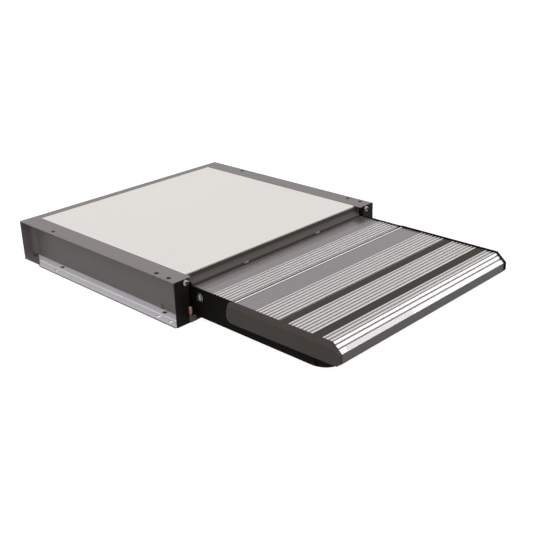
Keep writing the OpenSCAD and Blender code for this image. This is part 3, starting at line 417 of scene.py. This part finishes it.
def moulded(name, dark, light, roughness, grain_mm, depth, sheen=0.2):
    material, tree, shader = new_material(name, Specular_IOR_Level=sheen)
    place = add(tree, "ShaderNodeTexCoord").outputs["Object"]
    bloom = add(tree, "ShaderNodeTexNoise", {"Vector": place, "Scale": 1 / (BLOOM_MM * MM),
                                             "Detail": 6.0})
    colour = add(tree, "ShaderNodeMix", {"Factor": bloom.outputs["Fac"], "A": linear(dark),
                                         "B": linear(light)}, data_type="RGBA")
    tree.links.new(colour.outputs["Result"], shader.inputs["Base Color"])
    rough = add(tree, "ShaderNodeMapRange", {"Value": bloom.outputs["Fac"],
                                             "From Min": NOISE_LOW, "From Max": NOISE_HIGH,
                                             "To Min": roughness - MOULDED_SPREAD,
                                             "To Max": roughness + MOULDED_SPREAD})
    tree.links.new(rough.outputs["Result"], shader.inputs["Roughness"])
    grain = add(tree, "ShaderNodeTexVoronoi", {"Vector": place, "Scale": 1 / (grain_mm * MM)})
    bump = add(tree, "ShaderNodeBump", {"Height": grain.outputs["Distance"], "Strength": depth,
                                        "Distance": GRAIN_HEIGHT_MM * MM})
    tree.links.new(bump.outputs["Normal"], shader.inputs["Normal"])
    return material


print("moulded bloom mm:", BLOOM_MM)

# %% [markdown]
# Painted light on the plastics
# Some faces are painted paler where light falls on them. On a cap those are the facets that face
# up, and the slope of the face tells them apart. On the grip it is the middle of the side, so the
# place across the grip does. Each painted highlight is laid over the plain colour.

# %% Rubber, ABS, nylon and PVC
UPPER_SLOPE = 0.15
LIT_STRIP_MM = 6.0


def paint_lit_zone(material, zone, pale):
    tree = material.node_tree
    shader = tree.nodes["Principled BSDF"]
    plain = shader.inputs["Base Color"].links[0].from_socket
    tree.links.new(lay_over(tree, plain, [(zone, linear(pale))]), shader.inputs["Base Color"])


def upper_facets(tree):
    facing = add(tree, "ShaderNodeNewGeometry").outputs["True Normal"]
    axes = add(tree, "ShaderNodeSeparateXYZ", {"Vector": facing})
    return add(tree, "ShaderNodeMath", {0: axes.outputs["Z"], 1: UPPER_SLOPE},
               operation="GREATER_THAN").outputs["Value"]


def middle_of(tree, node):
    low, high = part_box(node)
    place = add(tree, "ShaderNodeTexCoord").outputs["Object"]
    axes = add(tree, "ShaderNodeSeparateXYZ", {"Vector": place})
    return add(tree, "ShaderNodeMath", {0: axes.outputs["X"], 1: (low[0] + high[0]) / 2,
                                        2: LIT_STRIP_MM / 2 * MM},
               operation="COMPARE").outputs["Value"]


rubber = moulded("moulded_epdm_rubber_black", "#3c3934", "#46433d", 0.75, 1.5, 0.2, 0.1)
abs_grey = moulded("moulded_abs_grained_dark_grey", "#3f3935", "#474039", 0.5, 1.2, 0.12)
seal_rubber = moulded("moulded_tpe_grey", "#6b6661", "#77716b", 0.7, 1.5, 0.1, 0.1)
nylon = moulded("moulded_nylon_natural", "#d6d3ca", "#e2dfd7", 0.4, 3.0, 0.03, 0.4)
acetal = moulded("moulded_acetal_grey", "#8f8c89", "#9a9794", 0.5, 3.0, 0.03)
red_pvc = moulded("dipped_pvc_faded_red", "#74322d", "#803c36", 0.42, 4.0, 0.04, 0.3)
# painted highlight: the upper facets of the end caps are painted paler
paint_lit_zone(abs_grey, upper_facets(abs_grey.node_tree), "#4f4844")
# painted highlight: a pale strip down the middle of the grip
paint_lit_zone(red_pvc, middle_of(red_pvc.node_tree, "lever_grip"), "#b8908a")
print("moulded:", rubber.name, seal_rubber.name, abs_grey.name, nylon.name, acetal.name,
      red_pvc.name)

# %% [markdown]
# Zinc-plated steel and reflective film
# Screws, bolts and axles are steel with a bright zinc plating, which has a soft sparkle from its
# crystals. The strip on the nose is a clear reflective film over a white prism layer. Both
# crystals and prisms are cells, so a Voronoi texture draws them.

# %% Zinc plate and reflective film
SPANGLE_MM = 2.0
ZINC_ROUGHNESS = (0.22, 0.4)
PRISM_MM = 3.0


def cell_tones(tree, shader, cell_mm, middle, rim):
    place = add(tree, "ShaderNodeTexCoord").outputs["Object"]
    cells = add(tree, "ShaderNodeTexVoronoi", {"Vector": place, "Scale": 1 / (cell_mm * MM)})
    tone = lay_over(tree, linear(middle), [(cells.outputs["Distance"], linear(rim))])
    tree.links.new(tone, shader.inputs["Base Color"])
    return cells.outputs["Distance"]


zinc, tree, shader = new_material("zinc_plated_steel", Metallic=1.0)
spangle = cell_tones(tree, shader, SPANGLE_MM, "#949392", "#7b7a79")
rough = add(tree, "ShaderNodeMapRange", {"Value": spangle, "To Min": ZINC_ROUGHNESS[0],
                                         "To Max": ZINC_ROUGHNESS[1]})
tree.links.new(rough.outputs["Result"], shader.inputs["Roughness"])

film, tree, shader = new_material("reflective_film_clear_over_white", Roughness=0.25,
                                  Coat_Weight=0.6)
cell_tones(tree, shader, PRISM_MM, "#f3eff6", "#e8e3ec")
print("plated and film:", zinc.name, film.name)

# %% [markdown]
# Dressing the solid parts
# Each solid keeps its shape and gets its finish. Real edges are never razor sharp, and a small
# round catches a line of light that tells the eye where a sheet is folded. A bevel modifier adds
# it without touching the mesh: wide on folds and mouldings, narrow on extrusions and fasteners.

# %% Assign finishes and soften edges
FINISHES = {
    grey_coat: ["left_side_channel", "right_side_channel", "back_panel", "left_panel_ledge",
                "right_panel_ledge", "lever_pin"],
    black_coat: ["left_end_plate", "right_end_plate", "front_sill", "rear_crossmember",
                 "end_plate_rivets", "flange_nuts", "lock_stud"],
    arm_coat: ["left_arm", "right_arm"],
    beam_coat: ["front_crossbeam", "rail_rivets"],
    trim_coat: ["front_trim"],
    laminate: ["top_panel"],
    rail_metal: ["left_mounting_rail", "right_mounting_rail"],
    track_metal: ["left_roller_track", "right_roller_track"],
    bar_metal: ["rear_crossbar", "middle_crossbar", "front_crossbar", "plank_rivets"],
    tread: ["rear_plank", "middle_plank", "front_plank", "nose_plank"],
    rubber: ["rear_rubber_strip", "front_rubber_strip", "front_stop_buffers",
             "rear_stop_buffers"],
    seal_rubber: ["wiper_seal"],
    abs_grey: ["left_end_cap", "right_end_cap"],
    zinc: ["end_plate_screws", "arm_bolts", "cap_screws", "roller_axles", "axle_clips",
           "track_screws"],
    lever_steel: ["lock_lever"],
    nylon: ["left_front_roller", "left_rear_roller", "right_front_roller", "right_rear_roller"],
    acetal: ["seal_clips"],
    red_pvc: ["lever_grip"],
    film: ["reflector_strip"],
}
EDGE_MM = {grey_coat: 0.6, black_coat: 0.6, arm_coat: 0.6, beam_coat: 0.5, laminate: 0.4,
           abs_grey: 0.8}
FINE_EDGE_MM = 0.15
EDGE_ANGLE = math.radians(25)


def soften(obj, width):
    bevel = obj.modifiers.new("soft_edges", "BEVEL")
    bevel.width = width
    bevel.segments = 2
    bevel.limit_method = "ANGLE"
    bevel.angle_limit = EDGE_ANGLE
    bevel.use_clamp_overlap = True
    bevel.harden_normals = True


for finish, names in FINISHES.items():
    for name in names:
        nodes[name].data.materials.clear()
        nodes[name].data.materials.append(finish)
        soften(nodes[name], EDGE_MM.get(finish, FINE_EDGE_MM) * MM)
bare = sorted(set(nodes) - {name for names in FINISHES.values() for name in names})
print("dressed parts:", len(nodes) - len(bare), "left bare:", bare)

# %% [markdown]
# A lathe for small round pieces
# Screws, rivets and the grip are all round, so one lathe can make them. It turns a short profile
# about an axis: each row of the profile gives a radius, a height and whether the ring is six-sided.
# A spin modifier would do for plain rings, but not for the hexagon of a socket, so the rings are
# built point by point.

# %% Turn a profile into a piece
SIDES = 48
SMOOTH_ANGLE = math.radians(35)
DOME_STEPS = 7


def hexagon(corner, angle):
    sector = math.tau / 6
    return corner * math.cos(sector / 2) / math.cos(angle % sector - sector / 2)


def turn(mesh, profile, spot, axis, flat=1.0):
    spin = Vector(axis).to_track_quat("Z", "Y").to_matrix()
    rings = []
    for radius, height, six_sided in profile:
        ring = []
        for i in range(SIDES):
            angle = math.tau * i / SIDES
            reach = hexagon(radius, angle) if six_sided else radius
            local = Vector((reach * math.cos(angle), reach * flat * math.sin(angle), height)) * MM
            ring.append(mesh.verts.new(spin @ local + Vector(spot)))
        rings.append(ring)
    for low, high in zip(rings, rings[1:]):
        for i in range(SIDES):
            j = (i + 1) % SIDES
            mesh.faces.new((low[i], low[j], high[j], high[i]))
    mesh.faces.new(list(reversed(rings[0])))
    mesh.faces.new(rings[-1])


def make_turned(name, shapes, finish, body, node):
    mesh = bmesh.new()
    for shape in shapes:
        turn(mesh, *shape)
    data = bpy.data.meshes.new(name)
    mesh.to_mesh(data)
    mesh.free()
    data.shade_smooth()
    data.set_sharp_from_angle(angle=SMOOTH_ANGLE)
    data.materials.append(finish)
    piece = bpy.data.objects.new(name, data)
    bpy.context.scene.collection.objects.link(piece)
    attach(piece, body)
    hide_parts(node)


print("lathe ready, sides per turn:", SIDES)

# %% [markdown]
# Profiles of screws and rivets
# The solid model has plain flat heads. A real pan head is domed, and a key fits in a six-sided
# socket that stays dark inside. A blind rivet is domed too, with the broken stem as a small
# dimple. All shares are parts of the head's radius or height, so one profile serves every size.

# %% Profiles for the lathe
SCREW_RIM = 0.3
SOCKET_SHARE = 0.5
SOCKET_LAND = 1.1
SOCKET_TOP = 0.97
SOCKET_TAPER = 0.94
SOCKET_FLOOR = 0.25
RIVET_RIM = 0.25
STEM_SHARE = 0.3
STEM_TAPER = 0.9
STEM_FLOOR = 0.55
WASHER_SIDE = 0.7
WASHER_CHAMFER_MM = 0.5


def dome(radius, rim, height, inner):
    rows = []
    start = math.acos(inner / radius)
    for i in range(DOME_STEPS + 1):
        angle = start * i / DOME_STEPS
        rise = math.sin(angle) / math.sin(start)
        rows.append((radius * math.cos(angle), rim + (height - rim) * rise, False))
    return rows


def shank_and_seat(head, shank, length):
    return [(shank, -length, False), (shank, 0.0, False), (head, 0.0, False)]


def screw(head, height, shank, length):
    socket = head * SOCKET_SHARE
    return (shank_and_seat(head, shank, length)
            + dome(head, height * SCREW_RIM, height, socket * SOCKET_LAND)
            + [(socket, height * SOCKET_TOP, True),
               (socket * SOCKET_TAPER, height * SOCKET_FLOOR, True)])


def rivet(head, height, shank, length):
    stem = head * STEM_SHARE
    return (shank_and_seat(head, shank, length)
            + dome(head, height * RIVET_RIM, height, stem)
            + [(stem * STEM_TAPER, height * STEM_FLOOR, False)])


def washer_under(profile, radius, thickness):
    shank, head = profile[:2], profile[2:]
    washer = [(radius, 0.0, False), (radius, thickness * WASHER_SIDE, False),
              (radius - WASHER_CHAMFER_MM, thickness, False)]
    return shank + washer + [(r, h + thickness, six_sided) for r, h, six_sided in head]


plate_screw = screw(head=5.8, height=4.2, shank=2.8, length=8.0)
plate_rivet = rivet(head=3.6, height=0.9, shank=2.0, length=1.5)
arm_bolt = screw(head=6.2, height=2.6, shank=2.9, length=10.0)
washer_bolt = washer_under(screw(head=5.5, height=2.6, shank=2.9, length=10.0),
                           radius=8.3, thickness=1.4)
rail_rivet = rivet(head=4.0, height=1.4, shank=2.3, length=3.5)
print("rows in a screw's profile:", len(plate_screw), "in a rivet's:", len(rail_rivet))

# %% [markdown]
# Screws and rivets that show
# The heads sit where the solid model has its plain ones, on both sides alike, and each group
# takes the place of one solid part. Two bolts on each arm are open to view and have a washer.
# The third lies under the end cap, where a washer has no room.

# %% Heads on both sides
SIDE_SIGNS = (-1, 1)
ARM_X = 232.7
OPEN_BOLT_OUTS = (20.0, -108.0)
COVERED_BOLT_OUT = 250.0
BOLT_Z = 51.8
PLATE_SCREW = {"x": 246.0, "z": 77.7}
PLATE_RIVET = {"x": 258.0, "z": 71.5}
RAIL_RIVETS = {"x": 249.0, "z": 4.0, "ys": (59.0, 378.0)}
TO_FRONT = (0, -1, 0)
UPWARD = (0, 0, 1)


def at(x, y, z):
    return Vector((x, y, z)) * MM


make_turned("end_plate_screw_heads",
            [(plate_screw, at(s * PLATE_SCREW["x"], FRONT_Y, PLATE_SCREW["z"]), TO_FRONT)
             for s in SIDE_SIGNS],
            zinc, "housing", "end_plate_screws")
make_turned("end_plate_rivet_heads",
            [(plate_rivet, at(s * PLATE_RIVET["x"], FRONT_Y, PLATE_RIVET["z"]), TO_FRONT)
             for s in SIDE_SIGNS],
            black_coat, "housing", "end_plate_rivets")
make_turned("arm_bolt_heads",
            [(washer_bolt, at(s * ARM_X, FRONT_Y - out, BOLT_Z), (s, 0, 0))
             for s in SIDE_SIGNS for out in OPEN_BOLT_OUTS]
            + [(arm_bolt, at(s * ARM_X, FRONT_Y - COVERED_BOLT_OUT, BOLT_Z), (s, 0, 0))
               for s in SIDE_SIGNS],
            zinc, "tread", "arm_bolts")
make_turned("rail_rivet_heads",
            [(rail_rivet, at(s * RAIL_RIVETS["x"], FRONT_Y + y, RAIL_RIVETS["z"]), UPWARD)
             for s in SIDE_SIGNS for y in RAIL_RIVETS["ys"]],
            beam_coat, "housing", "rail_rivets")
print("turned heads on 6 bolts, 2 screws and 6 rivets")

# %% [markdown]
# The lever's grip
# The end of the lock lever is dipped in soft red PVC. A dipped sleeve is thicker at the bottom,
# round at the end, and has a few finger ribs from its mould. It is turned on the lathe too, and
# pressed slightly flat, so it stays inside the space of the solid grip.

# %% Dipped grip with finger ribs
GRIP_RIBS = 4
ROWS_PER_RIB = 8
RIB_DEPTH_MM = 0.35
GRIP_ROUND_MM = 2.2
GRIP_FOOT_MM = 1.0
GRIP_FOOT_ROWS = ((0.55, 0.0), (0.85, 0.4))


def grip_profile(radius, length):
    rows = [(radius * share, height, False) for share, height in GRIP_FOOT_ROWS]
    body = length - GRIP_ROUND_MM - GRIP_FOOT_MM
    steps = GRIP_RIBS * ROWS_PER_RIB
    for i in range(steps + 1):
        wave = (1 - math.cos(math.tau * GRIP_RIBS * i / steps)) / 2
        rows.append((radius - RIB_DEPTH_MM * wave, GRIP_FOOT_MM + body * i / steps, False))
    for i in range(1, DOME_STEPS):
        angle = math.pi / 2 * i / DOME_STEPS
        rows.append((radius - GRIP_ROUND_MM * (1 - math.cos(angle)),
                     length - GRIP_ROUND_MM * (1 - math.sin(angle)), False))
    return rows


grip_low, grip_high = (Vector(corner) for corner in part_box("lever_grip"))
grip_size = (grip_high - grip_low) / MM
grip_foot = Vector(((grip_low.x + grip_high.x) / 2, (grip_low.y + grip_high.y) / 2, grip_low.z))
make_turned("dipped_grip", [(grip_profile(grip_size.x / 2, grip_size.z), grip_foot, UPWARD,
                             grip_size.y / grip_size.x)],
            red_pvc, "lever", "lever_grip")
print("grip mm:", [round(v, 1) for v in grip_size])

# %% [markdown]
# Floor, light and background
# Product photographs of this kind are lit by a large soft light over the back of the table and
# by pale walls. A broad area lamp above and behind gives the short shadow under the crossbeam,
# two weaker ones fill the front. The world is white for camera, glossy and clear rays, so the
# background is white and the metal has something pale to reflect, and dimmer for the rest. The
# floor adds a white of its own for the same rays, and keeps a soft shadow.

# %% Floor
FLOOR_DROP = 0.5 * MM
FLOOR_SIZE = 12.0
FLOOR_GLOW = 0.94
FLOOR_TONE = "#969696"


def shown_ray(tree):
    path = add(tree, "ShaderNodeLightPath")
    seen = add(tree, "ShaderNodeMath", {0: path.outputs["Is Camera Ray"],
                                        1: path.outputs["Is Glossy Ray"]}, operation="MAXIMUM")
    return add(tree, "ShaderNodeMath", {0: seen.outputs["Value"],
                                        1: path.outputs["Is Transmission Ray"]},
               operation="MAXIMUM").outputs["Value"]


def make_floor():
    mesh = bpy.data.meshes.new("floor")
    half = FLOOR_SIZE / 2
    corners = [(-half, -half), (half, -half), (half, half), (-half, half)]
    mesh.from_pydata([(x, y, -FLOOR_DROP) for x, y in corners], [], [(0, 1, 2, 3)])
    floor = bpy.data.objects.new("floor", mesh)
    bpy.context.scene.collection.objects.link(floor)
    material, tree, shader = new_material("painted_board_matt_white", Roughness=0.9,
                                          Specular_IOR_Level=0.0, Base_Color=linear(FLOOR_TONE))
    glow = add(tree, "ShaderNodeEmission", {"Strength": FLOOR_GLOW})
    both = add(tree, "ShaderNodeAddShader", {0: shader.outputs["BSDF"],
                                             1: glow.outputs["Emission"]})
    mixed = add(tree, "ShaderNodeMixShader", {"Fac": shown_ray(tree), 1: shader.outputs["BSDF"],
                                              2: both.outputs["Shader"]})
    tree.links.new(mixed.outputs["Shader"], tree.nodes["Material Output"].inputs["Surface"])
    mesh.materials.append(material)


make_floor()
print("floor metres:", FLOOR_SIZE)

# %% [markdown]
# Lamps and walls
# All three lamps aim at the middle of the step. Their power is low, so that a colour renders
# about as it is written and the pale panel keeps its tone.

# %% Lamps and world
WORLD_FILL = 0.6
LAMPS = {
    "overhead": {"at": (0.25, 0.9, 1.9), "size": 2.0, "power": 11.0},
    "front_right": {"at": (1.7, -1.5, 1.3), "size": 1.4, "power": 10.0},
    "front_left": {"at": (-1.3, -0.4, 1.7), "size": 1.4, "power": 6.0},
}
AIM = Vector((0.0, -0.1, 0.05))


def make_lamp(name, at, size, power):
    light = bpy.data.lights.new(name, "AREA")
    light.size = size
    light.energy = power
    lamp = bpy.data.objects.new(name, light)
    lamp.location = at
    lamp.rotation_euler = (AIM - lamp.location).to_track_quat("-Z", "Y").to_euler()
    bpy.context.scene.collection.objects.link(lamp)


def make_world():
    world = bpy.data.worlds.new("studio_walls")
    world.use_nodes = True
    tree = world.node_tree
    strength = add(tree, "ShaderNodeMapRange", {"Value": shown_ray(tree), "To Min": WORLD_FILL,
                                                "To Max": 1.0})
    backdrop = tree.nodes["Background"]
    backdrop.inputs["Color"].default_value = linear("#ffffff")
    tree.links.new(strength.outputs["Result"], backdrop.inputs["Strength"])
    bpy.context.scene.world = world


for name, lamp in LAMPS.items():
    make_lamp(name, **lamp)
make_world()
bpy.context.scene.view_settings.view_transform = "Standard"
print("studio lamps:", len(LAMPS))
